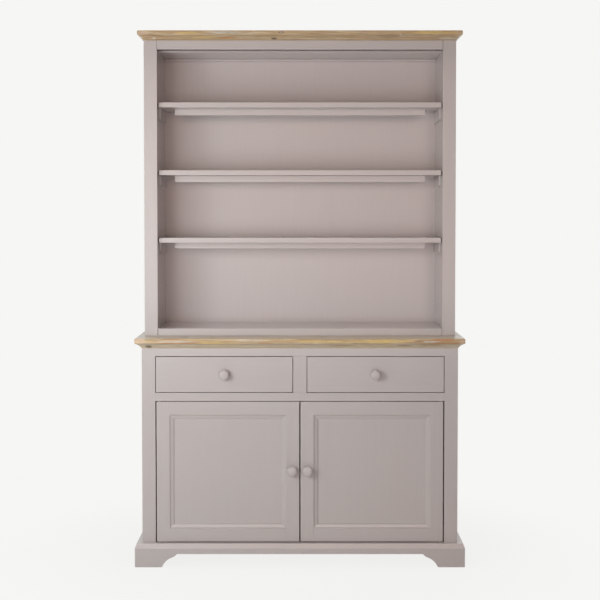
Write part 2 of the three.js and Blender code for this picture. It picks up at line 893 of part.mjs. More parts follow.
// The shelves, each lying on a ledge at each end, with a stiffening batten under it.
function addShelves() {
  const half = hutchOpeningHalf - shelfEndGap;
  const battenHalf = half - battenEndInset;
  const frontY = hutchFaceY + shelfSetback;
  const battenY = frontY + battenSetback;
  shelfBottoms.forEach((bottom, shelf) => {
    const board = boxBetween(
      [-half, frontY, bottom],
      [half, backPanelY - shelfBackGap, bottom + shelfThickness],
    );
    single(`hutch_shelf_${shelf + 1}`, board, paint);

    const battenTop = bottom - seatGap;
    const batten = boxBetween(
      [-battenHalf, battenY, battenTop - battenHeight],
      [battenHalf, battenY + battenThickness, battenTop],
    );
    single(`hutch_batten_${shelf + 1}`, batten, paint);
  });
}

function addTops() {
  const worktop = mouldedBoard({
    half: bodyHalf,
    front: faceY,
    bottom: bodyTop,
    overhang: worktopOverhang,
    coveHeight: worktopCoveHeight,
    noseHeight: worktopNoseHeight,
  });
  single("worktop", worktop, limedPine);

  const cornice = mouldedBoard({
    half: hutchHalf,
    front: hutchFaceY,
    bottom: hutchTop,
    overhang: corniceOverhang,
    coveHeight: corniceCoveHeight,
    noseHeight: corniceNoseHeight,
  });
  single("cornice", cornice, limedPine);
}

addPlinth();
addBaseSides();
addBaseFrame();
addBaseBoards();
addRunners();
addDrawers();
addDoors();
addTops();
addUprights();
addHutchFrame();
addHutchBack();
addShelves();

export default dresser;
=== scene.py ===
"""Looks, light and camera for the painted welsh dresser. Metres, +Z up, the front faces -Y."""

import json
import math

import bmesh
import bpy
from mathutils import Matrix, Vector


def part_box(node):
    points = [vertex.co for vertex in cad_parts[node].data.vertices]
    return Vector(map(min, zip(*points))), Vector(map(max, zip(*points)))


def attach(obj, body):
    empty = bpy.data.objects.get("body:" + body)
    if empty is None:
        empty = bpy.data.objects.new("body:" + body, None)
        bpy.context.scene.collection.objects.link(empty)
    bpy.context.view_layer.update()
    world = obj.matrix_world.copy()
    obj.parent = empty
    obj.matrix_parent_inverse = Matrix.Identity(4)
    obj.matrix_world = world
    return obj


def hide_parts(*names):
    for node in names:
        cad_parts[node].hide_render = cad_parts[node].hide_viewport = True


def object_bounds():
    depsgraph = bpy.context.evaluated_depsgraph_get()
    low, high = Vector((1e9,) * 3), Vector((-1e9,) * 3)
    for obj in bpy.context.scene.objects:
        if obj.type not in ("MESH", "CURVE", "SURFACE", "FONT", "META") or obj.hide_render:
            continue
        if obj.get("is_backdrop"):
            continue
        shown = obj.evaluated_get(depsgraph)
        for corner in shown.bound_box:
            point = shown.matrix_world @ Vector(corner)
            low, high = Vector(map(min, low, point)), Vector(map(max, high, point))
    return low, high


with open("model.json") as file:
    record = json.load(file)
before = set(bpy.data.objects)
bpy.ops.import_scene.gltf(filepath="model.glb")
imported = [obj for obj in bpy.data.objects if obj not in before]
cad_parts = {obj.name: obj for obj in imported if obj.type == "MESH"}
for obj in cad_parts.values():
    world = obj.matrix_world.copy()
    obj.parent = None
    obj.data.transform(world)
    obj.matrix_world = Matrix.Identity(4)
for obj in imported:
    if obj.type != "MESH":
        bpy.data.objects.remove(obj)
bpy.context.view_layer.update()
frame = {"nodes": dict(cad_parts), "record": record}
nodes = frame["nodes"]
slots = {part["node"]: part["material_slot"] for part in frame["record"]["subparts"]}
scene = bpy.context.scene


# ---------------------------------------------------------------- node graphs


class Graph:
    """A material's node tree, with short calls for the nodes that are used here."""

    def __init__(self, name):
        self.material = bpy.data.materials.new(name)
        self.material.use_nodes = True
        self.tree = self.material.node_tree
        self.tree.nodes.clear()
        self.output = self.new("ShaderNodeOutputMaterial")
        self.place = self.new("ShaderNodeTexCoord")
        self.object = self.place.outputs["Object"]

    def new(self, kind, **settings):
        node = self.tree.nodes.new(kind)
        for key, value in settings.items():
            setattr(node, key, value)
        return node

    def put(self, socket, value):
        if isinstance(value, bpy.types.NodeSocket):
            self.tree.links.new(value, socket)
        else:
            socket.default_value = value

    def put_color(self, socket, value):
        self.put(socket, value if isinstance(value, bpy.types.NodeSocket) else (*value, 1.0))

    def math(self, operation, a, b=0.0):
        node = self.new("ShaderNodeMath", operation=operation)
        self.put(node.inputs[0], a)
        self.put(node.inputs[1], b)
        return node.outputs[0]

    def add(self, a, b):
        return self.math("ADD", a, b)

    def less(self, a, b):
        return self.math("SUBTRACT", a, b)

    def mul(self, a, b):
        return self.math("MULTIPLY", a, b)

    def mapped(self, vector, scale=(1, 1, 1), place=(0, 0, 0), turn=(0, 0, 0)):
        node = self.new("ShaderNodeMapping")
        self.put(node.inputs["Vector"], vector)
        node.inputs["Location"].default_value = place
        node.inputs["Rotation"].default_value = turn
        node.inputs["Scale"].default_value = scale
        return node.outputs[0]

    def noise(self, vector, scale, detail=2.0, rough=0.5, warp=0.0):
        node = self.new("ShaderNodeTexNoise")
        self.put(node.inputs["Vector"], vector)
        node.inputs["Scale"].default_value = scale
        node.inputs["Detail"].default_value = detail
        node.inputs["Roughness"].default_value = rough
        node.inputs["Distortion"].default_value = warp
        return node.outputs["Fac"]

    def chance(self, value):
        """Three numbers from zero to one that depend on one number alone."""
        node = self.new("ShaderNodeTexWhiteNoise", noise_dimensions="1D")
        self.put(node.inputs["W"], value)
        return self.split(node.outputs["Color"])

    def span(self, value, low, high, out_low=0.0, out_high=1.0, smooth=False):
        node = self.new("ShaderNodeMapRange", clamp=True)
        if smooth:
            node.interpolation_type = "SMOOTHSTEP"
        self.put(node.inputs["Value"], value)
        node.inputs["From Min"].default_value = low
        node.inputs["From Max"].default_value = high
        node.inputs["To Min"].default_value = out_low
        node.inputs["To Max"].default_value = out_high
        return node.outputs["Result"]

    def mix(self, share, a, b, blend="MIX"):
        node = self.new("ShaderNodeMix", data_type="RGBA", blend_type=blend)
        self.put(node.inputs["Factor"], share)
        self.put_color(node.inputs[6], a)
        self.put_color(node.inputs[7], b)
        return node.outputs[2]

    def shaded(self, color, share):
        """The colour made darker or lighter by a number near one."""
        return self.mix(1.0, color, self.joined(share, share, share), "MULTIPLY")

    def split(self, vector):
        node = self.new("ShaderNodeSeparateXYZ")
        self.put(node.inputs[0], vector)
        return node.outputs

    def joined(self, x, y, z):
        node = self.new("ShaderNodeCombineXYZ")
        for socket, value in zip(node.inputs, (x, y, z)):
            self.put(socket, value)
        return node.outputs[0]

    def facing(self):
        """The surface's direction in the piece's own frame."""
        return self.split(self.place.outputs["Normal"])

    def bump(self, height, strength, distance, below=None):
        node = self.new("ShaderNodeBump")
        node.inputs["Strength"].default_value = strength
        node.inputs["Distance"].default_value = distance
        self.put(node.inputs["Height"], height)
        if below is not None:
            self.put(node.inputs["Normal"], below)
        return node.outputs[0]

    def surface(self, color, rough, normal=None, **plain):
        node = self.new("ShaderNodeBsdfPrincipled")
        self.put_color(node.inputs["Base Color"], color)
        self.put(node.inputs["Roughness"], rough)
        if normal is not None:
            self.put(node.inputs["Normal"], normal)
        for name, value in plain.items():
            node.inputs[name.replace("_", " ")].default_value = value
        self.put(self.output.inputs["Surface"], node.outputs[0])
        return self.material


# ---------------------------------------------------------------- paint

GRAIN = {"x": (0.05, 1, 1), "y": (1, 0.05, 1), "z": (1, 1, 0.05)}
PAINT = (0.440, 0.397, 0.384)
PAINT_WARM = (0.446, 0.394, 0.378)
# The paint on the arrises, a little paler than on the faces.
PAINT_PALE_ARRIS = tuple(1.05 * value for value in PAINT)
RUBBED = (0.520, 0.440, 0.360)
# How much paler the hutch's back and floor are painted: painted light, standing in for light the lamps do not
# bring into the bays.
BACK_PAINTED_LIGHT = 1.10
FLOOR_BOARD_PAINTED_LIGHT = 1.15
SATIN = {"Coat_Weight": 1.0, "Coat_Roughness": 0.16, "Coat_IOR": 1.3}
WAX = {"Coat_Weight": 1.0, "Coat_Roughness": 0.22, "Coat_IOR": 1.3}


def paint(axis, board="", painted_light_lift=1.0):
    """Satin paint, laid off along the grain of the board under it. The last argument makes it paler: painted
    light, for boards that the lamps light too dimly.
    """
    g = Graph(f"paint_{axis}{board}")
    along = g.mapped(g.object, GRAIN[axis])
    strokes = g.noise(along, 380, 2, 0.55)
    grain = g.noise(along, 70, 4, 0.55, 0.6)
    clouds = g.noise(g.object, 2.4, 3, 0.5)
    color = g.mix(g.span(clouds, 0.35, 0.65), PAINT, PAINT_WARM)
    broad = g.span(grain, 0.3, 0.7, 0.99 * painted_light_lift, 1.01 * painted_light_lift)
    shade = g.add(g.span(strokes, 0.3, 0.7, -0.012, 0.012), broad)
    height = g.add(g.mul(strokes, 0.6), g.mul(grain, 0.4))
    rough = g.span(strokes, 0.3, 0.7, 0.30, 0.38)
    normal = g.bump(height, 0.12, 0.0004)
    return g.surface(g.shaded(color, shade), rough, normal, **SATIN)


def paint_edge():
    """The same paint on an arris, made five per cent paler, and rubbed through in places."""
    g = Graph("paint_edge")
    worn = g.noise(g.object, 30, 4, 0.6)
    fine = g.noise(g.object, 260, 2, 0.5)
    share = g.mul(g.span(worn, 0.52, 0.72, 0.0, 0.75), g.span(fine, 0.4, 0.6, 0.6, 1.0))
    color = g.mix(share, PAINT_PALE_ARRIS, RUBBED)
    return g.surface(color, g.span(fine, 0.3, 0.7, 0.28, 0.42), Coat_Weight=0.2, Coat_Roughness=0.2)


# ---------------------------------------------------------------- limed pine

RING = 0.0034
TAN = (0.440, 0.300, 0.150)
HONEY = (0.620, 0.455, 0.200)
OLD_HONEY = (0.500, 0.365, 0.205)
PALE = (0.600, 0.490, 0.330)
ORANGE = (0.440, 0.240, 0.110)
LIME = (0.500, 0.465, 0.390)
END_GRAIN = (0.330, 0.215, 0.125)
KNOT_BROWN = (0.120, 0.078, 0.052)
KNOT_RIM = (0.360, 0.205, 0.110)
GOLD = (0.640, 0.450, 0.150)
RUST = (0.450, 0.190, 0.060)
UMBER = (0.270, 0.165, 0.090)
CHALK = (0.620, 0.590, 0.540)
BLUSH = (0.640, 0.450, 0.310)


def log_rings(g, x, across, up, plank, knots, seed):
    """How far a point is from the pith of the log that its plank was sawn from, and how
    deep it lies in a knot. Planks lie side by side along Y and their logs run along X."""
    place = g.mul(g.add(across, 1.0 + seed), 1 / plank)
    index = g.math("FLOOR", place)
    local = g.mul(g.less(g.less(place, index), 0.5), plank)
    first, second, third = g.chance(g.add(index, seed * 31.0))
    wander = g.noise(g.joined(g.mul(x, 1.3), g.mul(index, 5.3), seed), 1.0, 2)
    drift = g.noise(g.joined(g.mul(x, 2.1), g.mul(index, 3.1), seed + 4.0), 1.0, 2)
    pith_across = g.add(g.mul(g.less(first, 0.5), plank * 0.8), g.mul(g.less(wander, 0.5), 0.05))
    depth = g.add(g.add(0.016, g.mul(second, 0.05)), g.mul(g.less(drift, 0.5), 0.05))
    side = g.math("SIGN", g.less(third, 0.4))
    dy = g.less(local, pith_across)
    dz = g.add(up, g.mul(depth, side))
    radius = g.math("SQRT", g.add(g.mul(dy, dy), g.mul(dz, dz)))
    heart, rim = 0.0, 0.0
    for knot_x, knot_y, size, lean in knots:
        kx = g.mul(g.less(g.less(x, knot_x), g.mul(up, lean)), 1 / (size * 1.5))
        ky = g.mul(g.less(across, knot_y), 1 / size)
        far2 = g.add(g.mul(kx, kx), g.mul(ky, ky))
        swell = g.math("EXPONENT", g.mul(far2, -0.35))
        radius = g.add(radius, g.mul(swell, size * 0.8))
        heart = g.math("MAXIMUM", heart, g.span(far2, 0.3, 1.1, 1.0, 0.0, smooth=True))
        rim = g.math("MAXIMUM", rim, g.span(far2, 0.8, 4.0, 1.0, 0.0, smooth=True))
    seam = g.span(g.math("ABSOLUTE", local), plank / 2 - 0.0009, plank / 2 - 0.0003)
    return radius, index, heart, rim, seam


def limed_pine(name, level, plank, knots, marks, seed, honey, lime_share, hollow_lime):
    """Sanded pine with lime wax left in its open grain. The rings go through the whole board,
    so the top, the moulded edge and the end grain belong together. The level is the height that
    the logs' depth is measured from. The marks are the stains, knots and waxy streaks that
    stand out along the front edge."""
    g = Graph(name)
    x, y, z = g.split(g.object)
    up = g.less(z, level)
    radius, index, heart, rim, seam = log_rings(g, x, y, up, plank, knots, seed)
    ripple = g.noise(g.mapped(g.object, (3, 30, 30)), 1.0, 3, 0.6)
    rings = g.add(g.mul(radius, 1 / RING), g.mul(ripple, 0.9))
    phase = g.math("FRACT", rings)
    late = g.mul(g.span(phase, 0.45, 0.9, smooth=True), g.span(phase, 0.95, 1.0, 1.0, 0.0))

    # Broad bands that follow the rings, and streaks that run out along the board.
    bands = g.noise(g.joined(g.mul(x, 1.2), g.mul(index, 7.7), g.mul(radius, 130)), 1.0, 3, 0.6)
    streaks = g.noise(g.mapped(g.object, (5, 115, 115), (seed, 0, 0)), 1.0, 3, 0.6, 0.3)
    stains = g.noise(g.mapped(g.object, (4, 75, 95), (seed + 3.0, 2, 0)), 1.0, 2, 0.5, 0.4)
    chalk = g.noise(g.mapped(g.object, (4.5, 70, 120), (seed + 9.0, 5, 1)), 1.0, 4, 0.65, 0.3)
    fibre = g.noise(g.mapped(g.object, (25, 900, 900)), 1.0, 2, 0.6)
    _, _, tone = g.chance(g.add(index, seed * 17.0))

    color = g.mix(g.span(bands, 0.40, 0.60), honey, TAN)
    color = g.mix(g.span(streaks, 0.50, 0.62, 0.0, 0.8), color, PALE)
    color = g.mix(g.span(stains, 0.56, 0.66, 0.0, 0.85, smooth=True), color, ORANGE)
    color = g.mix(g.mul(late, 0.42), color, ORANGE)
    color = g.mix(g.mul(rim, 0.6), color, KNOT_RIM)

    # The wax stays on the flat top and in the hollow below, and wears off the nose.
    nx, ny, nz = g.facing()
    front = g.span(ny, -0.15, -0.4, 0.0, 1.0, smooth=True)
    hollow = g.span(nz, -0.12, -0.5, 0.0, hollow_lime, smooth=True)
    flat = g.span(nz, 0.75, 0.98, 0.0, 0.65, smooth=True)
    waxy = g.add(g.add(g.span(chalk, 0.50, 0.66, 0.0, lime_share), hollow), flat)
    waxy = g.mul(waxy, g.span(late, 0.0, 1.0, 1.0, 0.55))
    color = g.mix(g.math("MINIMUM", waxy, 0.82), color, LIME)
    color = g.mix(g.mul(heart, 0.9), color, KNOT_BROWN)
    wobble = g.noise(g.mapped(g.object, (14, 60, 60), (seed, 1, 3)), 1.0, 2, 0.6)
    broken = g.span(g.noise(g.mapped(g.object, (18, 260, 260)), 1.0, 2, 0.6), 0.32, 0.52, 0.45, 1.0)
    for mark_x, mark_z, half_x, half_z, tint, share in marks:
        dx = g.mul(g.less(x, mark_x), 1 / half_x)
        dz = g.add(g.mul(g.less(z, mark_z), 1 / half_z), g.mul(g.less(wobble, 0.5), 1.6))
        far = g.math("SQRT", g.add(g.mul(dx, dx), g.mul(dz, dz)))
        strength = g.span(far, 0.55, 1.15, share, 0.0, smooth=True)
        color = g.mix(g.mul(g.mul(strength, broken), front), color, tint)

    end = g.span(g.math("ABSOLUTE", nx), 0.6, 0.95, 0.0, 0.6, smooth=True)
    color = g.mix(end, color, g.mix(late, PALE, END_GRAIN))
    color = g.mix(g.mul(seam, 0.5), color, KNOT_BROWN)
    flecks = g.noise(g.mapped(g.object, (22, 230, 230), (seed, 4, 2)), 1.0, 3, 0.7)
    shade = g.add(g.span(tone, 0.0, 1.0, 0.90, 1.00), g.span(fibre, 0.3, 0.7, -0.05, 0.05))
    shade = g.add(shade, g.span(flecks, 0.34, 0.66, -0.17, 0.10))
    height = g.add(g.add(g.mul(late, 0.6), g.mul(fibre, 0.5)), g.mul(heart, -0.4))
    rough = g.span(chalk, 0.35, 0.65, 0.50, 0.72)
    return g.surface(g.shaded(color, shade), rough, g.bump(height, 0.5, 0.0006), **WAX)


# ---------------------------------------------------------------- bare pine and steel


def bare_pine(axis):
    """Planed pine inside the drawers, with rings that run along one axis."""
    g = Graph(f"bare_pine_{axis}")
    turned = {"x": (0, 1, 2), "y": (1, 0, 2), "z": (2, 1, 0)}[axis]
    parts = g.split(g.object)
    x, y, z = (parts[i] for i in turned)
    wander = g.noise(g.joined(g.mul(x, 2.0), 0.0, 0.0), 1.0, 2)
    dy = g.add(y, g.mul(wander, 0.06))
    dz = g.less(z, 0.62)
    radius = g.math("SQRT", g.add(g.mul(dy, dy), g.mul(dz, dz)))
    ripple = g.noise(g.mapped(g.joined(x, y, z), (3, 30, 30)), 1.0, 3, 0.6)
    phase = g.math("FRACT", g.add(g.mul(radius, 1 / 0.0042), g.mul(ripple, 1.2)))
    late = g.mul(g.span(phase, 0.45, 0.9, smooth=True), g.span(phase, 0.95, 1.0, 1.0, 0.0))
    fibre = g.noise(g.mapped(g.joined(x, y, z), (25, 900, 900)), 1.0, 2, 0.6)
    broad = g.noise(g.mapped(g.joined(x, y, z), (2, 20, 20)), 1.0, 2)
    color = g.mix(g.span(broad, 0.35, 0.65), (0.60, 0.455, 0.285), (0.56, 0.40, 0.235))
    color = g.mix(g.mul(late, 0.5), color, (0.47, 0.28, 0.13))
    shade = g.span(fibre, 0.3, 0.7, 0.96, 1.04)
    height = g.add(g.mul(late, 0.4), g.mul(fibre, 0.5))
    rough = g.span(fibre, 0.3, 0.7, 0.5, 0.62)
    return g.surface(g.shaded(color, shade), rough, g.bump(height, 0.3, 0.0004))


def plywood():
    """Thin birch ply for the drawer bottoms."""
    g = Graph("drawer_ply")
    along = g.mapped(g.object, (1.2, 22, 22))
    swirl = g.noise(along, 1.0, 4, 0.6, 1.2)
    fibre = g.noise(g.mapped(g.object, (30, 800, 800)), 1.0, 2, 0.6)
    color = g.mix(g.span(swirl, 0.38, 0.62), (0.60, 0.47, 0.32), (0.53, 0.39, 0.245))
    shade = g.span(fibre, 0.3, 0.7, 0.95, 1.05)
    return g.surface(g.shaded(color, shade), 0.55, g.bump(fibre, 0.25, 0.0003))


def steel():
    g = Graph("pivot_steel")
    turned = g.noise(g.mapped(g.object, (60, 60, 1500)), 1.0, 2)
    stain = g.noise(g.object, 160, 3)
    color = g.mix(g.span(stain, 0.4, 0.7), (0.56, 0.56, 0.57), (0.42, 0.41, 0.40))
    return g.surface(color, g.span(turned, 0.3, 0.7, 0.24, 0.42), g.bump(turned, 0.2, 0.0001), Metallic=1.0)


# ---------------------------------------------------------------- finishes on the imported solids

paints = {axis: paint(axis) for axis in "xyz"}
# Paler copies of the paint on the hutch's back and floor: painted light for the inside of the bays.
painted_light_boards = {
    "hutch_back": paint("z", "_back", BACK_PAINTED_LIGHT),
    "hutch_floor": paint("x", "_board", FLOOR_BOARD_PAINTED_LIGHT),
}
rubbed = paint_edge()
bare = {axis: bare_pine(axis) for axis in "xyz"}
ply = plywood()
metal = steel()

# Knots that go through a board: x, y, size and lean.
WORKTOP_KNOTS = (
    (0.31, -0.02, 0.012, 0.2),
    (-0.24, 0.09, 0.010, -0.3),
    (-0.42, -0.135, 0.010, 0.0),
    (0.05, 0.14, 0.013, 0.4),
)
CORNICE_KNOTS = (
    (0.36, 0.04, 0.011, 0.3),
    (-0.37, 0.02, 0.012, -0.3),
    (0.18, -0.03, 0.008, 0.0),
    (-0.16, 0.13, 0.013, 0.5),
)

# Marks on a front edge: x, z, half length, half height, tint and strength.
WORKTOP_MARKS = (
    (-0.580, 0.824, 0.024, 0.012, BLUSH, 0.8),
    (-0.450, 0.824, 0.080, 0.005, CHALK, 0.5),
    (-0.465, 0.8165, 0.100, 0.0022, RUST, 0.8),
    (-0.460, 0.8315, 0.045, 0.0022, RUST, 0.7),
    (-0.320, 0.8175, 0.055, 0.0032, GOLD, 0.9),
    (-0.170, 0.8270, 0.080, 0.0040, CHALK, 0.5),
    (-0.130, 0.8170, 0.030, 0.0030, RUST, 0.5),
    (0.080, 0.8225, 0.120, 0.0050, GOLD, 0.7),
    (0.300, 0.8240, 0.130, 0.0070, GOLD, 0.9),
    (0.190, 0.8322, 0.260, 0.0017, UMBER, 0.6),
    (0.215, 0.8160, 0.035, 0.0018, UMBER, 0.6),
    (0.500, 0.8220, 0.120, 0.0140, TAN, 0.85),
    (0.520, 0.8220, 0.110, 0.0140, UMBER, 0.3),
    (0.475, 0.8230, 0.040, 0.0030, CHALK, 0.8),
    (0.432, 0.8245, 0.020, 0.0035, UMBER, 0.8),
    (0.500, 0.8205, 0.022, 0.0020, UMBER, 0.7),
    (0.520, 0.8285, 0.052, 0.0042, RUST, 1.0),
    (0.530, 0.8175, 0.060, 0.0026, RUST, 0.8),
    (0.588, 0.8240, 0.012, 0.0100, BLUSH, 0.7),
    (0.380, 0.8075, 0.030, 0.0035, UMBER, 0.7),
    (0.150, 0.8070, 0.060, 0.0028, UMBER, 0.5),
    (0.470, 0.8060, 0.060, 0.0030, UMBER, 0.4),
    (-0.5495, 0.8040, 0.0135, 0.0046, KNOT_BROWN, 0.85),
)
CORNICE_MARKS = (
    (-0.420, 1.9290, 0.200, 0.0070, TAN, 0.75),
    (-0.575, 1.9450, 0.022, 0.0080, BLUSH, 0.7),
    (-0.560, 1.9375, 0.040, 0.0020, RUST, 0.6),
    (-0.500, 1.9240, 0.055, 0.0016, UMBER, 0.6),
    (-0.535, 1.9285, 0.007, 0.0030, CHALK, 0.9),
    (-0.410, 1.9430, 0.055, 0.0060, GOLD, 0.6),
    (-0.275, 1.9485, 0.080, 0.0042, LIME, 0.95),
    (-0.260, 1.9300, 0.045, 0.0028, RUST, 0.7),
    (-0.350, 1.9320, 0.060, 0.0030, GOLD, 0.5),
    (-0.080, 1.9380, 0.040, 0.0140, TAN, 0.6),
    (-0.069, 1.9480, 0.0115, 0.0050, KNOT_BROWN, 0.9),
    (-0.069, 1.9480, 0.0055, 0.0024, CHALK, 0.8),
    (-0.095, 1.9265, 0.0125, 0.0048, KNOT_BROWN, 1.0),
    (0.100, 1.9390, 0.150, 0.0120, TAN, 0.5),
    (0.060, 1.9440, 0.060, 0.0020, UMBER, 0.5),
    (0.320, 1.9350, 0.050, 0.0060, UMBER, 0.5),
    (0.369, 1.9380, 0.006, 0.0024, CHALK, 0.9),
    (0.490, 1.9460, 0.105, 0.0060, GOLD, 0.8),
    (0.550, 1.9270, 0.045, 0.0045, LIME, 0.7),
)
boards = {
    "worktop": limed_pine(
        "limed_pine_worktop", level=0.815, plank=0.098, knots=WORKTOP_KNOTS, marks=WORKTOP_MARKS,
        seed=1.37, honey=HONEY, lime_share=0.40, hollow_lime=0.50,
    ),
    "cornice": limed_pine(
        "limed_pine_cornice", level=1.939, plank=0.092, knots=CORNICE_KNOTS, marks=CORNICE_MARKS,
        seed=4.61, honey=OLD_HONEY, lime_share=0.35, hollow_lime=0.12,
    ),
}

RUN_X = (
    "base_floor", "base_top_rail", "base_mid_rail", "plinth_front", "cupboard_shelf",
    "hutch_top_rail", "hutch_bottom_rail", "hutch_floor", "hutch_ceiling",
    "hutch_shelf", "hutch_batten", "door_top_rail", "door_bottom_rail", "drawer_front",
)
RUN_Y = ("plinth_left", "plinth_right")


def finish_of(name):
    slot = slots[name]
    if slot == "limed_pine":
        return boards[name]
    if slot == "pivot_steel":
        return metal
    if slot == "bare_pine":
        if name.startswith("drawer_bottom"):
            return ply
        return bare["x" if name.startswith("drawer_back") else "y"]
    if name in painted_light_boards:
        return painted_light_boards[name]
    if name.startswith(RUN_X):
        return paints["x"]
    if name.startswith(RUN_Y):
        return paints["y"]
    return paints["z"]


class Shaping:
    """A geometry node group with named inputs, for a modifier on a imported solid."""

    def __init__(self, name, **inputs):
        self.tree = bpy.data.node_groups.new(name, "GeometryNodeTree")
        face = self.tree.interface
        face.new_socket("Geometry", in_out="INPUT", socket_type="NodeSocketGeometry")
        face.new_socket("Geometry", in_out="OUTPUT", socket_type="NodeSocketGeometry")
        kinds = {"vector": "NodeSocketVector", "float": "NodeSocketFloat"}
        self.keys = {
            name: face.new_socket(name, in_out="INPUT", socket_type=kinds[kind]).identifier
            for name, kind in inputs.items()
        }
        self.start = self.tree.nodes.new("NodeGroupInput")
        self.end = self.tree.nodes.new("NodeGroupOutput")
        self.geometry = self.start.outputs["Geometry"]

    def node(self, kind, links=(), **settings):
        node = self.tree.nodes.new(kind)
        for key, value in settings.items():
            setattr(node, key, value)
        for socket, value in dict(links).items():
            if isinstance(value, bpy.types.NodeSocket):
                self.tree.links.new(value, node.inputs[socket])
            else:
                node.inputs[socket].default_value = value
        return node

    def step(self, kind, links=(), **settings):
        """A node that the geometry passes through."""
        node = self.node(kind, links, **settings)
        self.tree.links.new(self.geometry, node.inputs["Geometry"])
        self.geometry = node.outputs["Geometry"]

    def math(self, operation, a, b):
        return self.node("ShaderNodeMath", {0: a, 1: b}, operation=operation).outputs[0]

    def vector(self, operation, a, b):
        node = self.node("ShaderNodeVectorMath", {0: a, 1: b}, operation=operation)
        return node.outputs["Value" if operation == "DOT_PRODUCT" else "Vector"]

    def finish(self):
        self.tree.links.new(self.geometry, self.end.inputs[0])
        return self

    def put_on(self, node, **values):
        modifier = node.modifiers.new(self.tree.name, "NODES")
        modifier.node_group = self.tree
        for name, value in values.items():
            modifier[self.keys[name]] = value


WELD = 0.00001
ARRIS_ANGLE = math.radians(40)
CREASE = math.radians(26)
PLINTH_CREASE = math.radians(15)
FLAT = math.radians(0.4)
BEVEL = 0.0006
BEVEL_STEPS = 2


def skin_shaping():
    """Joins a solid's triangles into one skin, and stretches it from its low corner."""
    g = Shaping("skin", low="vector", scale="vector", shift="vector")
    g.step("GeometryNodeRemoveAttribute", {"Name": "custom_normal"})
    g.step("GeometryNodeMergeByDistance", {"Distance": WELD})
    low = g.start.outputs["low"]
    place = g.vector("SUBTRACT", g.node("GeometryNodeInputPosition").outputs[0], low)
    place = g.vector("MULTIPLY", place, g.start.outputs["scale"])
    place = g.vector("ADD", g.vector("ADD", place, low), g.start.outputs["shift"])
    g.step("GeometryNodeSetPosition", {"Position": place})
    return g.finish()


def arris_shaping():
    """Shades gentle bends smoothly and marks the arrises that the bevel eases. Edges whose
    distance from the piece's ends lies between two values are glued joints, and stay sharp."""
    g = Shaping(
        "arrises", crease="float", along="vector", middle="float", half="float", near="float", far="float"
    )
    given = g.start.outputs
    angle = g.node("GeometryNodeInputMeshEdgeAngle").outputs["Unsigned Angle"]
    place = g.vector("DOT_PRODUCT", g.node("GeometryNodeInputPosition").outputs[0], given["along"])
    out = g.math("ABSOLUTE", g.math("SUBTRACT", place, given["middle"]), 0.0)
    from_end = g.math("SUBTRACT", given["half"], out)
    past = g.math("GREATER_THAN", from_end, given["near"])
    before = g.math("LESS_THAN", from_end, given["far"])
    glued = g.math("MULTIPLY", past, before)
    weight = g.math("SUBTRACT", g.math("GREATER_THAN", angle, ARRIS_ANGLE), glued)
    sharp = g.node(
        "FunctionNodeCompare", {"A": angle, "B": given["crease"]}, data_type="FLOAT", operation="GREATER_THAN"
    ).outputs["Result"]
    g.step("GeometryNodeSetShadeSmooth", {"Shade Smooth": True})
    g.step("GeometryNodeSetShadeSmooth", {"Selection": sharp, "Shade Smooth": False}, domain="EDGE")
    g.step(
        "GeometryNodeStoreNamedAttribute", {"Name": "bevel_weight_edge", "Value": weight},
        data_type="FLOAT", domain="EDGE",
    )
    return g.finish()


skin = skin_shaping()
arrises = arris_shaping()

# Joints: the axis across each, how far the piece grows at its low and high end, and the stretch
# from its ends where its edges stay sharp. Growth closes a painted hairline, and less than zero
# opens the joint, as the hutch's rails show theirs.
HAIRLINE = 0.0003
OPEN_JOINT = 0.0012
AT_END = (-0.0005, 0.0002)
ON_CORNER = (-0.0005, 0.0175)
ON_STILE = (0.005, 0.066)
NOWHERE = (1.0, 0.0)
JOINTS = {
    "base_top_rail": (0, HAIRLINE, HAIRLINE, AT_END),
    "base_mid_rail": (0, HAIRLINE, HAIRLINE, AT_END),
    "hutch_top_rail": (0, -0.8 * OPEN_JOINT, -OPEN_JOINT, AT_END),
    "hutch_bottom_rail": (0, -1.3 * OPEN_JOINT, -OPEN_JOINT, AT_END),
    "hutch_floor": (1, HAIRLINE, 0.0, AT_END),
    "hutch_side": (1, HAIRLINE, 0.0, AT_END),
    "base_side": (1, HAIRLINE, 0.0, AT_END),
    "door_top_rail": (0, HAIRLINE, HAIRLINE, ON_CORNER),
    "door_bottom_rail": (0, HAIRLINE, HAIRLINE, ON_CORNER),
    "door_hinge_stile": (2, 0.0, 0.0, ON_STILE),
    "door_meeting_stile": (2, 0.0, 0.0, ON_STILE),
    "plinth_front": (1, 0.0, HAIRLINE, NOWHERE),
    "plinth_left": (1, HAIRLINE * math.sqrt(2), 0.0, NOWHERE),
    "plinth_right": (1, HAIRLINE * math.sqrt(2), 0.0, NOWHERE),
}


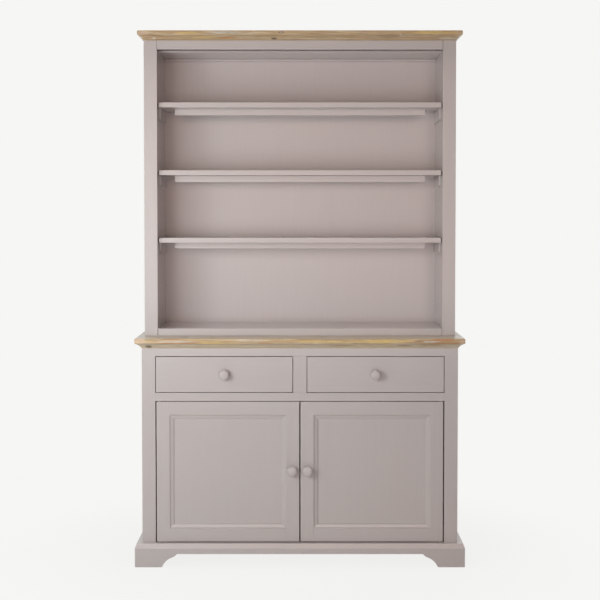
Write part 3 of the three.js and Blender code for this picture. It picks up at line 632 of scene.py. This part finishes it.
def dress(name, node, edge):
    """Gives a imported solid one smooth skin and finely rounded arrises."""
    low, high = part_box(name)
    key = next((key for key in JOINTS if name.startswith(key)), None)
    axis, grow_low, grow_high, (near, far) = JOINTS[key] if key else (0, 0.0, 0.0, NOWHERE)
    along = Vector((0, 0, 0))
    along[axis] = 1.0
    length = high[axis] - low[axis]
    scale = Vector((1, 1, 1)) + along * ((grow_low + grow_high) / length)
    skin.put_on(node, low=low, scale=scale, shift=along * -grow_low)
    flat = node.modifiers.new("flat", "DECIMATE")
    flat.decimate_type = "DISSOLVE"
    flat.angle_limit = FLAT
    crease = PLINTH_CREASE if name.startswith("plinth") else CREASE
    middle = (low[axis] - grow_low + high[axis] + grow_high) / 2
    half = (length + grow_low + grow_high) / 2
    arrises.put_on(node, crease=crease, along=along, middle=middle, half=half, near=near, far=far)
    bevel = node.modifiers.new("bevel", "BEVEL")
    bevel.width = BEVEL
    bevel.segments = BEVEL_STEPS
    bevel.limit_method = "WEIGHT"
    bevel.harden_normals = True
    if edge is not None:
        node.data.materials.append(edge)
        bevel.material = 1


for name, node in nodes.items():
    node.data.materials.clear()
    node.data.materials.append(finish_of(name))
    dress(name, node, rubbed if slots[name] == "painted_wood" else None)

# ---------------------------------------------------------------- turned knobs

KNOB_RADIUS = 0.0195
KNOB_OUT = 0.030
# Radius and distance from the seat, as shares of the knob's own.
KNOB_PROFILE = (
    (0.54, 0.0), (0.54, 0.1), (0.40, 0.2), (0.38, 0.34), (0.52, 0.46), (0.86, 0.54),
    (1.0, 0.64), (0.98, 0.76), (0.82, 0.89), (0.48, 0.975), (0.0, 1.0),
)
SPIGOT_RADIUS = 0.005
SPIGOT_LENGTH = 0.014
CURVE_STEPS = 5
TURNS = 64


def eased(points, steps):
    """A smooth run through the points (Catmull-Rom)."""
    ends = [points[0], *points, points[-1]]
    run = []
    for a, b, c, d in zip(ends, ends[1:], ends[2:], ends[3:]):
        for i in range(steps):
            t = i / steps
            run.append(tuple(
                0.5 * (
                    2 * q + (r - p) * t + (2 * p - 5 * q + 4 * r - s) * t * t
                    + (3 * q - p - 3 * r + s) * t**3
                )
                for p, q, r, s in zip(a, b, c, d)
            ))
    return [*run, points[-1]]


def lathe(name, profile, turns):
    """Turns (radius, distance) points about the line through the origin along -Y."""
    mesh = bmesh.new()
    rows = []
    for radius, out in profile:
        if radius < 1e-6:
            rows.append([mesh.verts.new((0, -out, 0))])
            continue
        angles = (2 * math.pi * i / turns for i in range(turns))
        rows.append([mesh.verts.new((radius * math.cos(a), -out, radius * math.sin(a))) for a in angles])
    for low, high in zip(rows, rows[1:]):
        for i in range(turns):
            j = i + 1
            corners = [low[i % len(low)], low[j % len(low)], high[j % len(high)], high[i % len(high)]]
            mesh.faces.new(list(dict.fromkeys(corners)))
    bmesh.ops.recalc_face_normals(mesh, faces=mesh.faces)
    for face in mesh.faces:
        face.smooth = True
    data = bpy.data.meshes.new(name)
    mesh.to_mesh(data)
    mesh.free()
    piece = bpy.data.objects.new(name, data)
    scene.collection.objects.link(piece)
    return piece


def turned_paint():
    """The paint of the knobs, with the faint rings that turning leaves under it."""
    g = Graph("paint_turned")
    _, y, _ = g.split(g.object)
    rings = g.noise(g.joined(0.0, g.mul(y, 900), 0.0), 1.0, 2)
    clouds = g.noise(g.object, 40, 3)
    color = g.mix(g.span(clouds, 0.35, 0.65), PAINT, PAINT_WARM)
    height = g.add(g.mul(rings, 0.5), g.mul(clouds, 0.3))
    return g.surface(color, g.span(rings, 0.3, 0.7, 0.28, 0.36), g.bump(height, 0.1, 0.0003), **SATIN)


knob_paint = turned_paint()
knob_head = [(KNOB_RADIUS * r, KNOB_OUT * t) for r, t in eased(KNOB_PROFILE, CURVE_STEPS)]
knob_head = [(min(r, KNOB_RADIUS), t) for r, t in knob_head]
knob_run = [(0.0, -SPIGOT_LENGTH), (SPIGOT_RADIUS, -SPIGOT_LENGTH), (SPIGOT_RADIUS, 0.0), *knob_head]
for kind in ("door", "drawer"):
    for side in ("left", "right"):
        low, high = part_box(f"{kind}_knob_{side}")
        middle = (low + high) / 2
        seat = low.y + KNOB_OUT
        piece = lathe(f"turned_{kind}_knob_{side}", knob_run, TURNS)
        piece.location = (middle.x, seat, middle.z)
        piece.data.materials.append(knob_paint)
        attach(piece, f"{kind}_{side}")
        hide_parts(f"{kind}_knob_{side}")

# ---------------------------------------------------------------- floor, light, camera

BACKGROUND = (0.922, 0.922, 0.905)
FLOOR_COLOR = (0.85, 0.85, 0.84)
FLOOR_HALF = 40
SHADOW_SHARE = 0.09
SHADOW_REACH = (0.45, 1.35)
SKY_COLOR = (1.0, 0.95, 0.92)
SKY_STRENGTH = 0.05


def emission(g, color):
    node = g.new("ShaderNodeEmission")
    node.inputs["Color"].default_value = (*color, 1.0)
    node.inputs["Strength"].default_value = 1.0
    return node.outputs[0]


def mix_shaders(g, share, a, b):
    node = g.new("ShaderNodeMixShader")
    g.put(node.inputs[0], share)
    g.put(node.inputs[1], a)
    g.put(node.inputs[2], b)
    return node.outputs[0]


def make_floor():
    """A pale floor that keeps a soft shadow near the dresser and fades into the backdrop."""
    mesh = bpy.data.meshes.new("floor")
    half = FLOOR_HALF
    corners = [(-half, -half, 0), (half, -half, 0), (half, half, 0), (-half, half, 0)]
    mesh.from_pydata(corners, [], [(0, 1, 2, 3)])
    floor = bpy.data.objects.new("floor", mesh)
    scene.collection.objects.link(floor)
    g = Graph("floor")
    diffuse = g.new("ShaderNodeBsdfDiffuse")
    diffuse.inputs["Color"].default_value = (*FLOOR_COLOR, 1.0)
    x, y, _ = g.split(g.object)
    far = g.math("SQRT", g.add(g.mul(x, x), g.mul(y, y)))
    near = g.span(far, *SHADOW_REACH, SHADOW_SHARE, 0.0, smooth=True)
    path = g.new("ShaderNodeLightPath")
    seen = g.math("MAXIMUM", path.outputs["Is Camera Ray"], path.outputs["Is Glossy Ray"])
    glow = mix_shaders(g, near, emission(g, BACKGROUND), diffuse.outputs[0])
    g.put(g.output.inputs["Surface"], mix_shaders(g, seen, diffuse.outputs[0], glow))
    mesh.materials.append(g.material)
    floor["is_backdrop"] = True


def make_world():
    """A faint even light, and the background's colour wherever the camera or a gloss sees it."""
    world = bpy.data.worlds.new("studio")
    scene.world = world
    world.use_nodes = True
    tree = world.node_tree
    tree.nodes.clear()
    out = tree.nodes.new("ShaderNodeOutputWorld")
    path = tree.nodes.new("ShaderNodeLightPath")
    seen = tree.nodes.new("ShaderNodeMath")
    seen.operation = "MAXIMUM"
    tree.links.new(path.outputs["Is Camera Ray"], seen.inputs[0])
    tree.links.new(path.outputs["Is Glossy Ray"], seen.inputs[1])
    both = tree.nodes.new("ShaderNodeMath")
    both.operation = "MAXIMUM"
    tree.links.new(seen.outputs[0], both.inputs[0])
    tree.links.new(path.outputs["Is Transmission Ray"], both.inputs[1])
    light = tree.nodes.new("ShaderNodeBackground")
    light.inputs["Color"].default_value = (*SKY_COLOR, 1.0)
    light.inputs["Strength"].default_value = SKY_STRENGTH
    shown = tree.nodes.new("ShaderNodeBackground")
    shown.inputs["Color"].default_value = (*BACKGROUND, 1.0)
    mix = tree.nodes.new("ShaderNodeMixShader")
    tree.links.new(both.outputs[0], mix.inputs[0])
    tree.links.new(light.outputs[0], mix.inputs[1])
    tree.links.new(shown.outputs[0], mix.inputs[2])
    tree.links.new(mix.outputs[0], out.inputs["Surface"])


WHITE = (1.0, 1.0, 1.0)
FRONT = (0.0, -0.1, 1.0)
# Place, target, size, power, colour, and whether glossy surfaces mirror the lamp.
LAMPS = {
    "key": ((-3.0, -3.2, 1.4), FRONT, (1.5, 1.5), 17, (1.0, 0.90, 0.86), True),
    "near_key": ((-1.15, -1.7, 1.2), FRONT, (1.0, 0.9), 23.5, (0.86, 0.97, 1.0), False),
    "fill": ((0.0, -5.2, 1.4), FRONT, (3.0, 2.0), 51, (1.0, 0.70, 0.61), True),
    "low_fill": ((0.0, -5.0, 0.6), FRONT, (3.0, 1.0), 12, (0.70, 0.86, 1.0), True),
    "top_fill": ((0.0, -0.35, 4.2), FRONT, (2.0, 0.8), 38, (1.0, 0.97, 0.93), False),
    "back_fill": ((0.6, 4.6, 1.8), (0.0, 0.2, 1.0), (3.0, 2.0), 92, WHITE, False),
    "right_fill": ((4.6, 0.8, 1.4), (0.5, 0.0, 1.0), (2.0, 2.0), 36, WHITE, False),
}


def area_light(name, place, target, size, power, color, mirrored):
    lamp = bpy.data.lights.new(name, "AREA")
    lamp.shape = "RECTANGLE"
    lamp.size, lamp.size_y = size
    lamp.energy = power
    lamp.color = color
    obj = bpy.data.objects.new(name, lamp)
    scene.collection.objects.link(obj)
    obj.location = place
    obj.visible_camera = False
    obj.visible_glossy = mirrored
    obj.rotation_euler = (Vector(target) - Vector(place)).to_track_quat("-Z", "Y").to_euler()


FOCAL_PX = 1263.72
IMAGE_PX = 600
SENSOR_MM = 36
CAMERA_PLACE = (0.011844, -4.751394, 1.30)
CAMERA_TILT = 0.033446
CAMERA_SHIFT = (-0.005243, -0.08)
CAMERA_REACH = 200


def make_camera():
    """At the photograph's place. The frame's drop is shared between tilt and shift."""
    data = bpy.data.cameras.new("camera")
    data.sensor_width = SENSOR_MM
    data.lens = SENSOR_MM * FOCAL_PX / IMAGE_PX
    data.shift_x, data.shift_y = CAMERA_SHIFT
    data.clip_end = CAMERA_REACH
    camera = bpy.data.objects.new("camera", data)
    scene.collection.objects.link(camera)
    camera.location = CAMERA_PLACE
    camera.rotation_euler = (math.pi / 2 - CAMERA_TILT, 0, 0)
    scene.camera = camera


make_floor()
make_world()
for name, lamp in LAMPS.items():
    area_light(name, *lamp)
make_camera()

scene.view_settings.view_transform = "Standard"

low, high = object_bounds()
